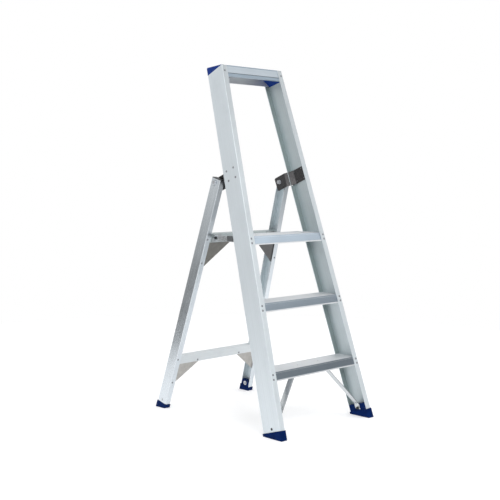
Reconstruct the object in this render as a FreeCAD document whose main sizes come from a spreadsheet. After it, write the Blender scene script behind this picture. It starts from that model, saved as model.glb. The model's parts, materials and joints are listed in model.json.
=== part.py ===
import FreeCAD, Part
import math
import os
from types import SimpleNamespace

import Sketcher

# Four-legged aluminium stepladder with three treads and a tall handrail hoop.
# Millimetres, +Z up, +Y from the climbing side to the back, X across.
# The origin is on the floor, at the centre of the ladder's footprint.

V = FreeCAD.Vector
X_AXIS, Y_AXIS, Z_AXIS = V(1, 0, 0), V(0, 1, 0), V(0, 0, 1)
LEFT, RIGHT = -1, 1
SIDES = {"left": LEFT, "right": RIGHT}

SIZES = {
    # Climbing frame: "along" runs up its slope, "depth" runs square to it, backwards.
    "front_lean": 17.8,        # degrees from upright, backwards
    "front_taper": 3.96,       # degrees that each stile tips inwards
    "stile_half_foot": 314.8,  # half of the outer width, at the floor
    "stile_deep": 100,
    "stile_flange": 30,
    "stile_wall": 2.5,
    "stile_low": 44,           # lower cut, along the stile
    "stile_high": 1691,        # upper cut at the front edge
    "stile_drop": 18.5,        # how much lower the upper cut is at the rear edge
    "corner_round": 2.5,
    "first_top": 275.3,        # height of the lowest tread
    "step_rise": 285,
    "skirt_high": 38,
    "skirt_thick": 2.5,
    "skirt_recess": 1.2,       # skirt face behind its nose and bead
    "nose_high": 5,
    "plate_thick": 2.7,
    "rib_high": 0.8,
    "rib_wide": 2.4,
    "rib_count": 10,
    "fit_gap": 0.6,            # room left between a square end and a tilted wall
    "platform_deep": 125,
    "platform_skirt": 27,
    "overhang_half": 209.2,      # half width of the platform behind the stiles
    "top_low_front": 1634,     # top bar, measured along the climbing frame's slope
    "top_low_rear": 1640,
    "top_high_front": 1687,
    "top_high_rear": 1705.5,
    "top_half": 193.4,
    "top_lip": 9,
    "groove_up": 14,
    "groove_wide": 3,
    "groove_deep": 1.3,
    "cap_block_low": 1642,
    "cap_block_high": 1687,
    "cap_block_in": 40,
    "cap_rise": 19,
    # Rear frame: "along" and "depth" as above, on its own slope.
    "rear_lean": 15,           # degrees from upright, forwards
    "rear_taper": 3.18,
    "leg_half_foot": 296.9,
    "leg_foot_back": 766.9,    # from the stiles' front faces to the legs', at the floor
    "leg_deep": 55,
    "leg_flange": 28,
    "leg_wall": 2.5,
    "leg_low": 18,
    "leg_high": 1124,
    "leg_cap": 3,              # lid over the leg's top end
    "leg_cap_plug": 4,
    "brace_thick": 2,
    "brace_fold": 19,
    "upper_brace_low": 825.5,
    "upper_brace_high": 867,
    "upper_brace_half": 245.2,
    "lower_brace_low": 221.5,
    "lower_brace_high": 264.5,
    "lower_brace_half": 279,
    "gusset_thick": 2.5,
    "gusset_lap": 23,          # gusset behind the brace
    "upper_gusset_tip": 84,
    "upper_gusset_down": 118,
    "lower_gusset_tip": 129,
    "lower_gusset_down": 93,
    # Hinge
    "pivot_back": 510,
    "pivot_up": 1075.5,
    "hinge_turn": 6,           # degrees that the plate droops backwards from square
    "hinge_turn_deep": 122,    # where it's turned about
    "hinge_turn_up": 1178,
    "hinge_tall": 65,
    "hinge_thick": 4,
    "hinge_front": 16,
    "hinge_bend": 80.6,
    "hinge_behind": 116,
    "hinge_slot_near": 15.8,   # slot in the stile's rear flange, from the stile's outer face
    "hinge_slot_far": 26,
    "hinge_back": 181.5,
    "hinge_out": 199.5,        # outer face of the plate's rear half, from the centre plane
    "hinge_bolt_r": 5,
    "bush_r": 9,
    # Stays, with their pivots on the stiles and their catches on the upper brace
    "stay_out": 213.9,         # outer face, from the centre plane
    "stay_thick": 3.5,
    "stay_tall": 24,
    "stay_reach": 136.2,       # pivot to catch pin
    "stay_nose": 11.5,
    "stay_pin_r": 4,
    "slot_wide": 10,
    "slot_slant": 55,          # degrees below level, forwards
    "stay_pivot_deep": 116,
    "stay_pivot_up": 822,
    "ear_thick": 3,
    "ear_out": 217.6,          # outer face of the stay bracket's ear
    "catch_out": 209.9,        # outer face of the catch bracket's ear
    # Feet and foot braces
    "foot_lip": 3,
    "plug_gap": 0.2,
    "front_plug_high": 75,
    "rear_plug_high": 46,
    "foot_bolt_r": 3,
    "foot_brace_wide": 28,
    "foot_brace_thick": 3,
    "foot_brace_deep": 34,
    "foot_brace_tab": 28,
    "foot_brace_top_x": 84,
    "lug_gap": 0.8,
    "foot_bolt_deep": 47,
    "foot_bolt_up": 57,
    # Fasteners
    "rivet_r": 2.4,
    "rivet_head_r": 4.8,
    "rivet_head": 1.9,
    "rivet_tail_r": 3.7,
    "rivet_tail": 2.6,
    "running_gap": 0.07,
}


class Size:
    """A size with its value and the sheet expression that it comes from."""

    def __init__(self, value, text):
        self.value = float(value)
        self.text = text

    @staticmethod
    def of(other):
        return other if isinstance(other, Size) else Size(other, repr(float(other)))

    def _join(self, sign, other, value):
        return Size(value, f"({self.text} {sign} {other.text})")

    def __add__(self, other):
        other = Size.of(other)
        return self._join("+", other, self.value + other.value)

    def __sub__(self, other):
        other = Size.of(other)
        return self._join("-", other, self.value - other.value)

    def __mul__(self, other):
        other = Size.of(other)
        return self._join("*", other, self.value * other.value)

    def __truediv__(self, other):
        other = Size.of(other)
        return self._join("/", other, self.value / other.value)

    def __radd__(self, other):
        return Size.of(other) + self

    def __rsub__(self, other):
        return Size.of(other) - self

    def __rmul__(self, other):
        return Size.of(other) * self

    def __rtruediv__(self, other):
        return Size.of(other) / self

    def __neg__(self):
        return 0 - self


def sine(angle):
    return Size(math.sin(math.radians(angle.value)), f"sin({angle.text})")


def cosine(angle):
    return Size(math.cos(math.radians(angle.value)), f"cos({angle.text})")


def tangent(angle):
    return Size(math.tan(math.radians(angle.value)), f"tan({angle.text})")


S = SimpleNamespace(**{name: Size(value, f"Sizes.{name}") for name, value in SIZES.items()})
SIN_F, COS_F, TAN_F = sine(S.front_lean), cosine(S.front_lean), tangent(S.front_lean)
SIN_R, COS_R = sine(S.rear_lean), cosine(S.rear_lean)
TILT_F, TILT_R = tangent(S.front_taper), tangent(S.rear_taper)

doc = FreeCAD.newDocument("stepladder")
sheet = doc.addObject("Spreadsheet::Sheet", "Sizes")
for row, (name, value) in enumerate(SIZES.items(), start=1):
    sheet.set(f"A{row}", name)
    sheet.set(f"B{row}", str(value))
    sheet.setAlias(f"B{row}", name)
doc.recompute()

NODES = {}


# ---------------------------------------------------------------- frames

def placed(x=0, y=0, z=0, axis=Z_AXIS, angle=0):
    return FreeCAD.Placement(V(x, y, z), FreeCAD.Rotation(axis, angle))


FOOTPRINT_FRONT = -S.foot_lip.value / COS_F.value
FOOTPRINT_BACK = S.leg_foot_back.value + (S.leg_deep + S.foot_lip).value / COS_R.value
MIDDLE = (FOOTPRINT_FRONT + FOOTPRINT_BACK) / 2

WORLD = placed(0, -MIDDLE, 0)
FRONT = WORLD * placed(axis=X_AXIS, angle=-S.front_lean.value)
REAR = WORLD * placed(0, S.leg_foot_back.value, 0, X_AXIS, S.rear_lean.value)


def stile_frame(side):
    """X is level with the flanges, Y is depth and Z runs up the stile's outer front corner."""
    return FRONT * placed(side * S.stile_half_foot.value, 0, 0, Y_AXIS, -side * S.front_taper.value)


def leg_frame(side):
    return REAR * placed(side * S.leg_half_foot.value, 0, 0, Y_AXIS, -side * S.rear_taper.value)


def spot(frame, x, y, z, outwards):
    """A fastener's place: its Z axis leaves the surface along outwards."""
    return frame * FreeCAD.Placement(V(x, y, z), FreeCAD.Rotation(Z_AXIS, outwards))


PIVOT_ALONG_LEG = S.pivot_up.value * COS_R.value - (S.pivot_back - S.leg_foot_back).value * SIN_R.value
STAY_PIVOT_BACK = (S.stay_pivot_deep.value + S.stay_pivot_up.value * SIN_F.value) / COS_F.value
STAY_PIVOT_ALONG = STAY_PIVOT_BACK * SIN_F.value + S.stay_pivot_up.value * COS_F.value
CATCH_BACK = STAY_PIVOT_BACK + S.stay_reach.value - S.leg_foot_back.value
CATCH_DEEP = CATCH_BACK * COS_R.value + S.stay_pivot_up.value * SIN_R.value
CATCH_ALONG = S.stay_pivot_up.value * COS_R.value - CATCH_BACK * SIN_R.value


# ---------------------------------------------------------------- building blocks

def bind(obj, path, size):
    obj.setExpression(path, Size.of(size).text)


def new_body(label, frame):
    body = doc.addObject("PartDesign::Body", label)
    body.Label = label
    body.Placement = frame
    return body


def outline(body, role, points):
    """A closed sketch of straight lines whose corners are bound to the sheet."""
    sketch = body.newObject("Sketcher::SketchObject", f"{body.Name}_outline")
    plane = next(item for item in body.Origin.OriginFeatures if item.Role == role)
    sketch.AttachmentSupport = [(plane, "")]
    sketch.MapMode = "FlatFace"
    corners = [(Size.of(x), Size.of(y)) for x, y in points]
    count = len(corners)
    for index, (x, y) in enumerate(corners):
        next_x, next_y = corners[(index + 1) % count]
        start, end = V(x.value, y.value, 0), V(next_x.value, next_y.value, 0)
        sketch.addGeometry(Part.LineSegment(start, end))
    for index in range(count):
        sketch.addConstraint(Sketcher.Constraint("Coincident", index, 2, (index + 1) % count, 1))
    for index, corner in enumerate(corners):
        for kind, size in zip("XY", corner):
            rule = Sketcher.Constraint(f"Distance{kind}", index, 1, size.value)
            number = sketch.addConstraint(rule)
            sketch.renameConstraint(number, f"{kind.lower()}{index}")
            if size.text.count("Sizes"):
                bind(sketch, f"Constraints.{kind.lower()}{index}", size)
    return sketch


def pad(body, sketch, length, symmetric=False, backwards=False, along=None):
    feature = body.newObject("PartDesign::Pad", f"{body.Name}_pad")
    feature.Profile = sketch
    feature.SideType = "Symmetric" if symmetric else "One side"
    feature.Reversed = backwards
    if along is not None:
        feature.UseCustomVector = True
        feature.AlongSketchNormal = False
        feature.Direction = along
    bind(feature, "Length", length)
    body.Tip = feature
    doc.recompute()
    return feature


def round_edges(body, radius, chosen):
    """Fillets the edges of the body's own shape that chosen(edge) accepts."""
    base = body.Tip
    feature = body.newObject("PartDesign::Fillet", f"{body.Name}_fillet")
    names = [f"Edge{n}" for n, edge in enumerate(base.Shape.Edges, start=1) if chosen(edge)]
    feature.Base = (base, names)
    bind(feature, "Radius", radius)
    body.Tip = feature
    doc.recompute()
    return feature


def near(value, target):
    return abs(value - target) < 0.01


def edge_along_z(edge, x, y):
    box = edge.BoundBox
    return near(box.XMin, x) and near(box.XMax, x) and near(box.YMin, y) and near(box.YMax, y)


def edge_along_x(edge, y, z):
    box = edge.BoundBox
    return near(box.YMin, y) and near(box.YMax, y) and near(box.ZMin, z) and near(box.ZMax, z)


def box(label, frame, size_x, size_y, size_z):
    item = doc.addObject("Part::Box", label)
    bind(item, "Length", size_x)
    bind(item, "Width", size_y)
    bind(item, "Height", size_z)
    item.Placement = frame
    return item


def cylinder(label, frame, radius, height):
    item = doc.addObject("Part::Cylinder", label)
    bind(item, "Radius", radius)
    bind(item, "Height", height)
    item.Placement = frame
    return item


def fuse(label, items):
    item = doc.addObject("Part::MultiFuse", label)
    item.Shapes = items
    item.Refine = True
    return item


def cut(label, base, tools):
    """base with every tool taken away, as the sub-part called label."""
    group = doc.addObject("Part::Compound", f"{label}_tools")
    group.Links = tools
    item = doc.addObject("Part::Cut", label)
    item.Base = base
    item.Tool = group
    NODES[label] = item
    return item


def keep(label, item):
    item.Label = label
    NODES[label] = item
    return item


def drills(label, spots, radius, length):
    """Straight drills for fasteners: each starts just outside its spot and goes inwards."""
    margin = 0.5
    tools = []
    for place in spots:
        start = place * placed(z=-Size.of(length).value)
        tools.append(cylinder(f"{label}_drill", start, radius, Size.of(length) + margin))
    return tools


def group_of(label, master, spots):
    """Copies of one finished fastener at every spot, as separate solids of one node."""
    item = doc.addObject("Part::Feature", label)
    shape = master.Shape.copy()
    shape.Placement = FreeCAD.Placement()
    item.Shape = Part.makeCompound([shape.transformed(place.toMatrix(), True) for place in spots])
    return keep(label, item)


def rivet(label, grip, tail=True, scale=1.0):
    """Domed head above its origin, shank below it, and an upset tail past the grip."""
    body = new_body(label, placed())
    head, high, shank = S.rivet_head_r * scale, S.rivet_head * scale, S.rivet_r * scale
    points = [(0, high), (head * 0.42, high * 0.9), (head * 0.76, high * 0.6), (head, 0), (shank, 0),
              (shank, -Size.of(grip))]
    if tail:
        end = Size.of(grip) + S.rivet_tail
        points += [(S.rivet_tail_r, -Size.of(grip)), (S.rivet_tail_r * 0.8, -end), (0, -end)]
    else:
        points += [(0, -Size.of(grip))]
    sketch = outline(body, "XZ_Plane", points)
    turn = body.newObject("PartDesign::Revolution", f"{label}_turn")
    turn.Profile = sketch
    turn.ReferenceAxis = (sketch, ["V_Axis"])
    turn.Angle = 360
    body.Tip = turn
    doc.recompute()
    return body


def hexagon(label, frame, across, high):
    """Hexagonal head or nut with its outer corners turned off, standing on frame's XY plane."""
    prism = doc.addObject("Part::Prism", f"{label}_prism")
    prism.Polygon = 6
    bind(prism, "Circumradius", Size.of(across) / 2 / cosine(Size.of(30)))
    bind(prism, "Height", high)
    prism.Placement = frame
    cone = doc.addObject("Part::Cone", f"{label}_turned")
    slope = 1.4
    bind(cone, "Radius1", Size.of(across) * 0.49 + Size.of(high) * slope)
    bind(cone, "Radius2", Size.of(across) * 0.49)
    bind(cone, "Height", high)
    cone.Placement = frame
    item = doc.addObject("Part::Common", f"{label}_hexagon")
    item.Base = prism
    item.Tool = cone
    return item


# ---------------------------------------------------------------- fastener places

def both(spots_of):
    return [place for side in SIDES.values() for place in spots_of(side)]


def along_stile(along):
    return along / math.cos(math.radians(S.front_taper.value))


def tread_top(step):
    return S.first_top + S.step_rise * step


RIVET_DROPS = (8.5, 28)      # below each tread's top
TREAD_RIVET_IN = 12          # from the stile's outer face


def tread_front_spots(step, side):
    ups = [(tread_top(step).value - drop) / COS_F.value for drop in RIVET_DROPS]
    return [spot(stile_frame(side), -side * TREAD_RIVET_IN, 0, along_stile(up), -Y_AXIS) for up in ups]


def tread_rear_spots(step, side, outside=0):
    """On the rear flange, or that far outside it where a bracket lies between."""
    back = S.stile_deep.value
    ups = [(tread_top(step).value - drop) / COS_F.value + back * TAN_F.value for drop in RIVET_DROPS]
    return [spot(stile_frame(side), -side * TREAD_RIVET_IN, back + outside, along_stile(up), Y_AXIS) for up in ups]


def tread_spots(step, side):
    return tread_front_spots(step, side) + tread_rear_spots(step, side)


HINGE_RIVETS = ((28, -22), (74, -22), (28, 24), (74, 24))     # depth, height from the plate's middle


def hinge_frame(base, up):
    """Y runs backwards along the hinge plate's middle line, from where it is turned."""
    turned = placed(0, S.hinge_turn_deep.value, up, X_AXIS, -S.hinge_turn.value)
    return base * turned * placed(y=-S.hinge_turn_deep.value)


def hinge_spots(side):
    frame = hinge_frame(stile_frame(side), along_stile(S.hinge_turn_up.value))
    return [spot(frame, 0, depth, up, X_AXIS * side) for depth, up in HINGE_RIVETS]


def foot_bolt_spot(side):
    return spot(stile_frame(side), 0, S.foot_bolt_deep.value, S.foot_bolt_up.value, X_AXIS * side)


def top_bar_spots(side):
    frame = stile_frame(side)
    front = spot(frame, -side * TREAD_RIVET_IN, 0, 1664, -Y_AXIS)
    rear = spot(frame, -side * TREAD_RIVET_IN, S.stile_deep.value, 1660, Y_AXIS)
    return [front, rear]


def stay_bracket_spots(side):
    """The platform's rear rivets go through the stay bracket too."""
    return tread_rear_spots(2, side, S.ear_thick.value)


LEG_RIVET_IN = 11


def brace_spots(side):
    frame = leg_frame(side)
    return [spot(frame, -side * LEG_RIVET_IN, 0, up, -Y_AXIS) for up in (843, 248)]


def gusset_leg_spots(side):
    frame = leg_frame(side)
    return [spot(frame, -side * LEG_RIVET_IN, 0, up, -Y_AXIS) for up in (728, 131)]


def gusset_tip_spots(side):
    face = S.leg_wall.value
    upper = spot(REAR, side * 104, face, S.upper_brace_low.value + 8, -Y_AXIS)
    lower = spot(REAR, side * 140, face, S.lower_brace_low.value + 8, -Y_AXIS)
    return [upper, lower]


def catch_spots(side):
    face = S.leg_wall.value - S.ear_thick.value
    return [spot(REAR, side * x, face, 839, -Y_AXIS) for x in (163, 192)]


def rear_foot_spot(side):
    return spot(leg_frame(side), 0, 27.5, 33, X_AXIS * side)


def pivot_spot(side, distance):
    """On the hinge axis, at a distance from the centre plane, facing outwards."""
    return spot(WORLD, side * distance, S.pivot_back.value, S.pivot_up.value, X_AXIS * side)


def stay_spot(side, distance, forward=0):
    back = STAY_PIVOT_BACK + forward
    return spot(WORLD, side * distance, back, S.stay_pivot_up.value, X_AXIS * side)


# ---------------------------------------------------------------- channels

def channel(label, frame, side, deep, flange, wall, length):
    """C-section: web on the outer side, flanges pointing at the centre plane."""
    body = new_body(label, frame)
    inward = -side
    sketch = outline(body, "XY_Plane", [
        (0, 0), (inward * flange, 0), (inward * flange, wall), (inward * wall, wall),
        (inward * wall, deep - wall), (inward * flange, deep - wall), (inward * flange, deep), (0, deep)])
    pad(body, sketch, length)
    round_edges(body, S.corner_round, lambda edge: edge_along_z(edge, 0, 0) or edge_along_z(edge, 0, deep.value))
    return body


def stile(name, side):
    label = f"stile_{name}"
    frame = stile_frame(side)
    start = frame * placed(z=S.stile_low.value)
    body = channel(f"{label}_section", start, side, S.stile_deep, S.stile_flange, S.stile_wall,
                   S.stile_high - S.stile_low)
    slope = math.degrees(math.atan2(S.stile_drop.value, S.stile_deep.value))
    corner = placed(-60, 0, S.stile_high.value, X_AXIS, -slope)
    above = box(f"{label}_top_cut", frame * corner, 120, S.stile_deep * 1.2, 60)
    tools = [above]
    for step in range(3):
        tools += drills(label, tread_spots(step, side), S.rivet_r, 4)
    tools += drills(label, hinge_spots(side), S.rivet_r, 4)
    tools += drills(label, [foot_bolt_spot(side)], S.foot_bolt_r, 4)
    tools += drills(label, top_bar_spots(side), S.rivet_r, 4)
    slot_x = S.hinge_slot_near.value if side == LEFT else -S.hinge_slot_far.value
    slot_half = S.hinge_tall / 2 + 2
    slot_place = hinge_frame(frame, along_stile(S.hinge_turn_up.value)) * placed(slot_x, 87, -slot_half.value)
    tools.append(box(f"{label}_hinge_slot", slot_place, S.hinge_slot_far - S.hinge_slot_near, 25, slot_half * 2))
    cut(label, body, tools)


def rear_leg(name, side):
    label = f"rear_leg_{name}"
    frame = leg_frame(side)
    start = frame * placed(z=S.leg_low.value)
    body = channel(f"{label}_section", start, side, S.leg_deep, S.leg_flange, S.leg_wall,
                   S.leg_high - S.leg_low)
    locating_hole = spot(frame, 0, 29.5, PIVOT_ALONG_LEG - 13.5, X_AXIS * side)
    tools = drills(label, brace_spots(side) + gusset_leg_spots(side), S.rivet_r, 4)
    tools += drills(label, [rear_foot_spot(side)], S.foot_bolt_r, 4)
    tools += drills(label, [locating_hole], 3.2, 4)
    tools += drills(label, [pivot_spot(side, 240)], S.hinge_bolt_r, 12)
    cut(label, body, tools)


def leg_cap(name, side):
    """Plastic lid on the rear leg's top end, with a short plug between the flanges."""
    label = f"leg_cap_{name}"
    inward = -side
    frame = leg_frame(side)
    deep, flange, gap = S.leg_deep, S.leg_flange, S.leg_wall + S.plug_gap
    lid = new_body(f"{label}_lid", frame * placed(z=S.leg_high.value))
    sketch = outline(lid, "XY_Plane", [(0, 0), (inward * flange, 0), (inward * flange, deep), (0, deep)])
    pad(lid, sketch, S.leg_cap)
    round_edges(lid, S.corner_round, lambda edge: edge_along_z(edge, 0, 0) or edge_along_z(edge, 0, deep.value))
    plug = new_body(f"{label}_plug", frame * placed(z=(S.leg_high - S.leg_cap_plug).value))
    sketch = outline(plug, "XY_Plane", [(inward * gap, gap), (inward * flange, gap),
                                        (inward * flange, deep - gap), (inward * gap, deep - gap)])
    pad(plug, sketch, S.leg_cap_plug)
    keep(label, fuse(label, [lid, plug]))


# ---------------------------------------------------------------- treads and top bar

def tread_half(step, behind):
    """Half length of a tread whose rear top corner just clears the tilted webs."""
    along = tread_top(step) / COS_F + behind * SIN_F
    return S.stile_half_foot - TILT_F * along - S.stile_wall / cosine(S.front_taper) - S.fit_gap


def skirt_front(high):
    """Front of a tread from its bead up to its nose, leaning with the stiles."""
    nose = S.nose_high
    recess = S.skirt_recess / COS_F
    return [(-high * TAN_F, -high), (-(high - nose) * TAN_F, nose - high),
            (recess - (high - nose - 1) * TAN_F, nose + 1 - high), (recess - (nose + 1) * TAN_F, -nose - 1),
            (-nose * TAN_F, -nose), (0, 0)]


def tread_body(label, step, total, back_skirt):
    """Extruded tread: ribbed plate, front skirt, a web inside the rear flange and a back skirt."""
    top = tread_top(step)
    front_y = top.value * TAN_F.value + S.stile_wall.value / COS_F.value
    body = new_body(label, WORLD * placed(0, front_y, top.value))
    inner = (S.stile_deep - 2 * S.stile_wall) / COS_F
    thick = S.skirt_thick / COS_F
    recess = S.skirt_recess / COS_F
    under = S.plate_thick + S.rib_high
    high = S.skirt_high
    land = 5
    points = skirt_front(high)
    points += [(land, 0), (land, -S.rib_high), (total - land, -S.rib_high), (total - land, 0), (total, 0)]
    if back_skirt is not None:
        points += [(total - back_skirt * TAN_F, -back_skirt),
                   (total - thick - back_skirt * TAN_F, -back_skirt),
                   (total - thick - under * TAN_F, -under), (inner - under * TAN_F, -under)]
    points += [(inner - high * TAN_F, -high), (inner - thick - high * TAN_F, -high),
               (inner - thick - under * TAN_F, -under), (recess + thick - under * TAN_F, -under),
               (recess + thick - high * TAN_F, -high)]
    half = tread_half(step, inner)
    pad(body, outline(body, "YZ_Plane", points), half * 2, symmetric=True)
    first = Size.of(land) + 3
    last = total - land - 3 - S.rib_wide
    rib = outline(body, "YZ_Plane", [(first, -S.rib_high), (first + S.rib_wide, -S.rib_high),
                                     (first + S.rib_wide, 0), (first, 0)])
    rib_pad = pad(body, rib, half * 2, symmetric=True)
    pattern = body.newObject("PartDesign::LinearPattern", f"{label}_ribs")
    pattern.Originals = [rib_pad]
    pattern.Direction = (rib, ["H_Axis"])
    bind(pattern, "Length", last - first)
    bind(pattern, "Occurrences", S.rib_count)
    body.Tip = pattern
    doc.recompute()
    return body


def tread(label, step):
    total = (S.stile_deep - 2 * S.stile_wall) / COS_F
    body = tread_body(f"{label}_extrusion", step, total, None)
    tools = drills(label, both(lambda side: tread_spots(step, side)), S.rivet_r, 8)
    if step == 0:
        tools += drills(label, both(lambda side: [foot_brace_spot(side)]), S.rivet_r, 8)
    cut(label, body, tools)


def platform(step):
    body = tread_body("platform_extrusion", step, S.platform_deep, S.platform_skirt)
    tools = drills("platform", both(lambda side: tread_spots(step, side)), S.rivet_r, 8)
    inner_deep = (S.stile_deep - S.stile_wall).value
    low = tread_top(step).value / COS_F.value - 60
    for side in SIDES.values():
        start_x = S.overhang_half.value if side == RIGHT else -S.overhang_half.value - 60
        tools.append(box("platform_notch", FRONT * placed(start_x, inner_deep, low), 60, 60, 160))
    cut("platform", body, tools)


def top_bar():
    """Channel with its web on top, its flanges against the stiles' flanges and a grooved face."""
    body = new_body("top_bar_extrusion", FRONT)
    near_d, far_d, wall = S.stile_wall, S.stile_deep - S.stile_wall, S.stile_wall
    low_f, low_r, high_f, high_r = S.top_low_front, S.top_low_rear, S.top_high_front, S.top_high_rear
    groove_low = low_f + S.groove_up
    groove_high = groove_low + S.groove_wide
    sketch = outline(body, "YZ_Plane", [
        (near_d, low_f), (near_d, groove_low), (near_d + S.groove_deep, groove_low),
        (near_d + S.groove_deep, groove_high), (near_d, groove_high), (near_d, high_f),
        (far_d, high_r), (far_d, low_r), (far_d - wall, low_r), (far_d - wall, high_r - wall * 1.2),
        (near_d + wall, high_f - wall * 0.85), (near_d + wall, low_f + wall),
        (near_d + S.top_lip, low_f + wall), (near_d + S.top_lip, low_f)])
    pad(body, sketch, S.top_half * 2, symmetric=True)
    spots = top_bar_spots(LEFT) + top_bar_spots(RIGHT)
    cut("top_bar", body, drills("top_bar", spots, S.rivet_r, 8))


def corner_cap(name, side):
    """Plastic corner: a cheek over the stile's slanted end and a wedge inside the corner."""
    label = f"corner_cap_{name}"
    frame = stile_frame(side)
    inward = -side
    cheek = new_body(f"{label}_cheek", frame)
    deep, high = S.stile_deep, S.stile_high
    sketch = outline(cheek, "YZ_Plane", [(0, high), (deep, high + S.cap_rise), (deep, high - S.stile_drop)])
    pad(cheek, sketch, S.stile_wall, backwards=side == RIGHT)
    corner_z = (high + S.cap_rise).value
    round_edges(cheek, Size.of(6), lambda edge: edge_along_x(edge, deep.value, corner_z))
    wedge = new_body(f"{label}_wedge", frame * placed(y=S.stile_wall.value * 2 + 0.4))
    wall, low, top = S.stile_wall, S.cap_block_low, S.cap_block_high
    sketch = outline(wedge, "XZ_Plane", [(inward * wall, low), (inward * wall, top),
                                         (inward * (wall + S.cap_block_in), top),
                                         (inward * (wall + S.cap_block_in), top - 4)])
    pad(wedge, sketch, deep - 4 * wall - 0.8, backwards=True)
    whole = fuse(f"{label}_whole", [cheek, wedge])
    cut(label, whole, drills(label, top_bar_spots(side), S.rivet_r, 14))


# ---------------------------------------------------------------- feet and foot braces

def foot(label, frame, side, deep, flange, wall, low, plug_high, bolt):
    """Shoe under the channel's end with a plug up inside it, cut level with the floor."""
    inward = -side
    lip, gap = S.foot_lip, S.plug_gap
    below = -60
    shoe = new_body(f"{label}_shoe", frame * placed(z=below))
    sketch = outline(shoe, "XY_Plane", [
        (-inward * lip, -lip), (inward * (flange + lip), -lip),
        (inward * (flange + lip), deep + lip), (-inward * lip, deep + lip)])
    pad(shoe, sketch, low - below)
    outer, inner = -inward * lip.value, inward * (flange + lip).value
    ends = (-lip.value, (deep + lip).value)
    round_edges(shoe, Size.of(2), lambda edge: any(edge_along_z(edge, x, y) for x in (outer, inner) for y in ends))
    plug = new_body(f"{label}_plug", frame * placed(z=low.value))
    sketch = outline(plug, "XY_Plane", [
        (inward * (wall + gap), wall + gap), (inward * flange, wall + gap),
        (inward * flange, deep - wall - gap), (inward * (wall + gap), deep - wall - gap)])
    pad(plug, sketch, plug_high - low)
    whole = fuse(f"{label}_whole", [shoe, plug])
    floor = box(f"{label}_floor", placed(-500, -700, -200), 1000, 1400, 200)
    cut(label, whole, [floor] + drills(label, [bolt], S.foot_bolt_r, flange + 6))


def foot_brace_spot(side):
    """Under the lowest tread's plate, facing down."""
    deep = (S.foot_brace_deep + S.foot_brace_wide * COS_F / 2).value
    under = (tread_top(0) - S.plate_thick - S.rib_high - S.foot_brace_thick).value
    back = (deep + under * SIN_F.value) / COS_F.value
    x = S.foot_brace_top_x.value - S.foot_brace_tab.value * 0.5
    return spot(WORLD, side * x, back, under, -Z_AXIS)


def foot_brace(name, side):
    """Flat strip, bent at both ends: a lug on the foot's plug and a tab under the lowest tread."""
    label = f"foot_brace_{name}"
    body = new_body(f"{label}_strip", FRONT * placed(y=S.foot_brace_deep.value))
    thick = S.foot_brace_thick
    under = tread_top(0) - S.plate_thick - S.rib_high
    tab_up = (under + S.foot_brace_deep * SIN_F) / COS_F
    tab_thick = thick / COS_F
    lug_low, lug_high = 46, 72

    def lug_x(up, offset):
        return S.stile_half_foot - TILT_F * up - (S.stile_flange + S.lug_gap + offset) / cosine(S.front_taper)

    top_x = S.foot_brace_top_x
    skew = thick * 1.3
    points = [(lug_x(lug_low, 0), lug_low), (lug_x(lug_high, 0), lug_high), (top_x, tab_up),
              (top_x - S.foot_brace_tab, tab_up), (top_x - S.foot_brace_tab, tab_up - tab_thick),
              (top_x - skew * 0.45, tab_up - tab_thick), (lug_x(lug_high, thick), lug_high - skew * 0.4),
              (lug_x(lug_low, thick), lug_low)]
    sketch = outline(body, "XZ_Plane", [(side * x, up) for x, up in points])
    level = V(0, COS_F.value, SIN_F.value)
    pad(body, sketch, S.foot_brace_wide, along=level)
    tools = drills(label, [foot_bolt_spot(side)], S.foot_bolt_r, 40)
    tools += drills(label, [foot_brace_spot(side)], S.rivet_r, 8)
    cut(label, body, tools)


# ---------------------------------------------------------------- hinge

def hinge_plate(name, side):
    """Steel plate on the web's inner face, slanting inwards through the rear flange's slot."""
    label = f"hinge_plate_{name}"
    inward = -side
    half, thick = S.hinge_tall / 2, S.hinge_thick
    on_web = hinge_frame(stile_frame(side), along_stile(S.hinge_turn_up.value)) * placed(inward * S.stile_wall.value)
    upright = hinge_frame(FRONT, S.hinge_turn_up.value) * placed(side * S.hinge_out.value)

    skew = half * tangent(S.hinge_turn)        # keeps both bends along the stile

    def flat(piece, place, bend, rounded):
        body = new_body(f"{label}_{piece}", place)
        sketch = outline(body, "YZ_Plane", [(bend + skew, -half), (rounded, -half), (rounded, half),
                                            (bend - skew, half)])
        pad(body, sketch, thick, backwards=side == RIGHT)
        ends = (-half.value, half.value)
        round_edges(body, Size.of(8), lambda edge: any(edge_along_x(edge, rounded.value, z) for z in ends))
        return body

    def end_wire(place, bend):
        low, high = V(0, (bend + skew).value, -half.value), V(0, (bend - skew).value, half.value)
        through = V(inward * thick.value, 0, 0)
        points = [place.multVec(corner) for corner in (low, low + through, high + through, high)]
        return Part.makePolygon(points + points[:1])

    front = flat("front", on_web, S.hinge_bend, S.hinge_front)
    rear = flat("rear", upright, S.hinge_behind, S.hinge_back)
    wires = [end_wire(on_web, S.hinge_bend), end_wire(upright, S.hinge_behind)]
    step = doc.addObject("Part::Feature", f"{label}_step")
    step.Shape = Part.makeLoft(wires, True, True)
    whole = fuse(f"{label}_whole", [front, step, rear])
    tools = drills(label, hinge_spots(side), S.rivet_r, 9)
    tools += drills(label, [pivot_spot(side, 205)], S.hinge_bolt_r + S.running_gap, 20)
    cut(label, whole, tools)


HINGE_HEAD_AT = 237.9         # under the bolt's head, from the centre plane
HINGE_NUT_AT = 193.6
HINGE_BOLT_END = 182.5
HINGE_ACROSS = 17


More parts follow.
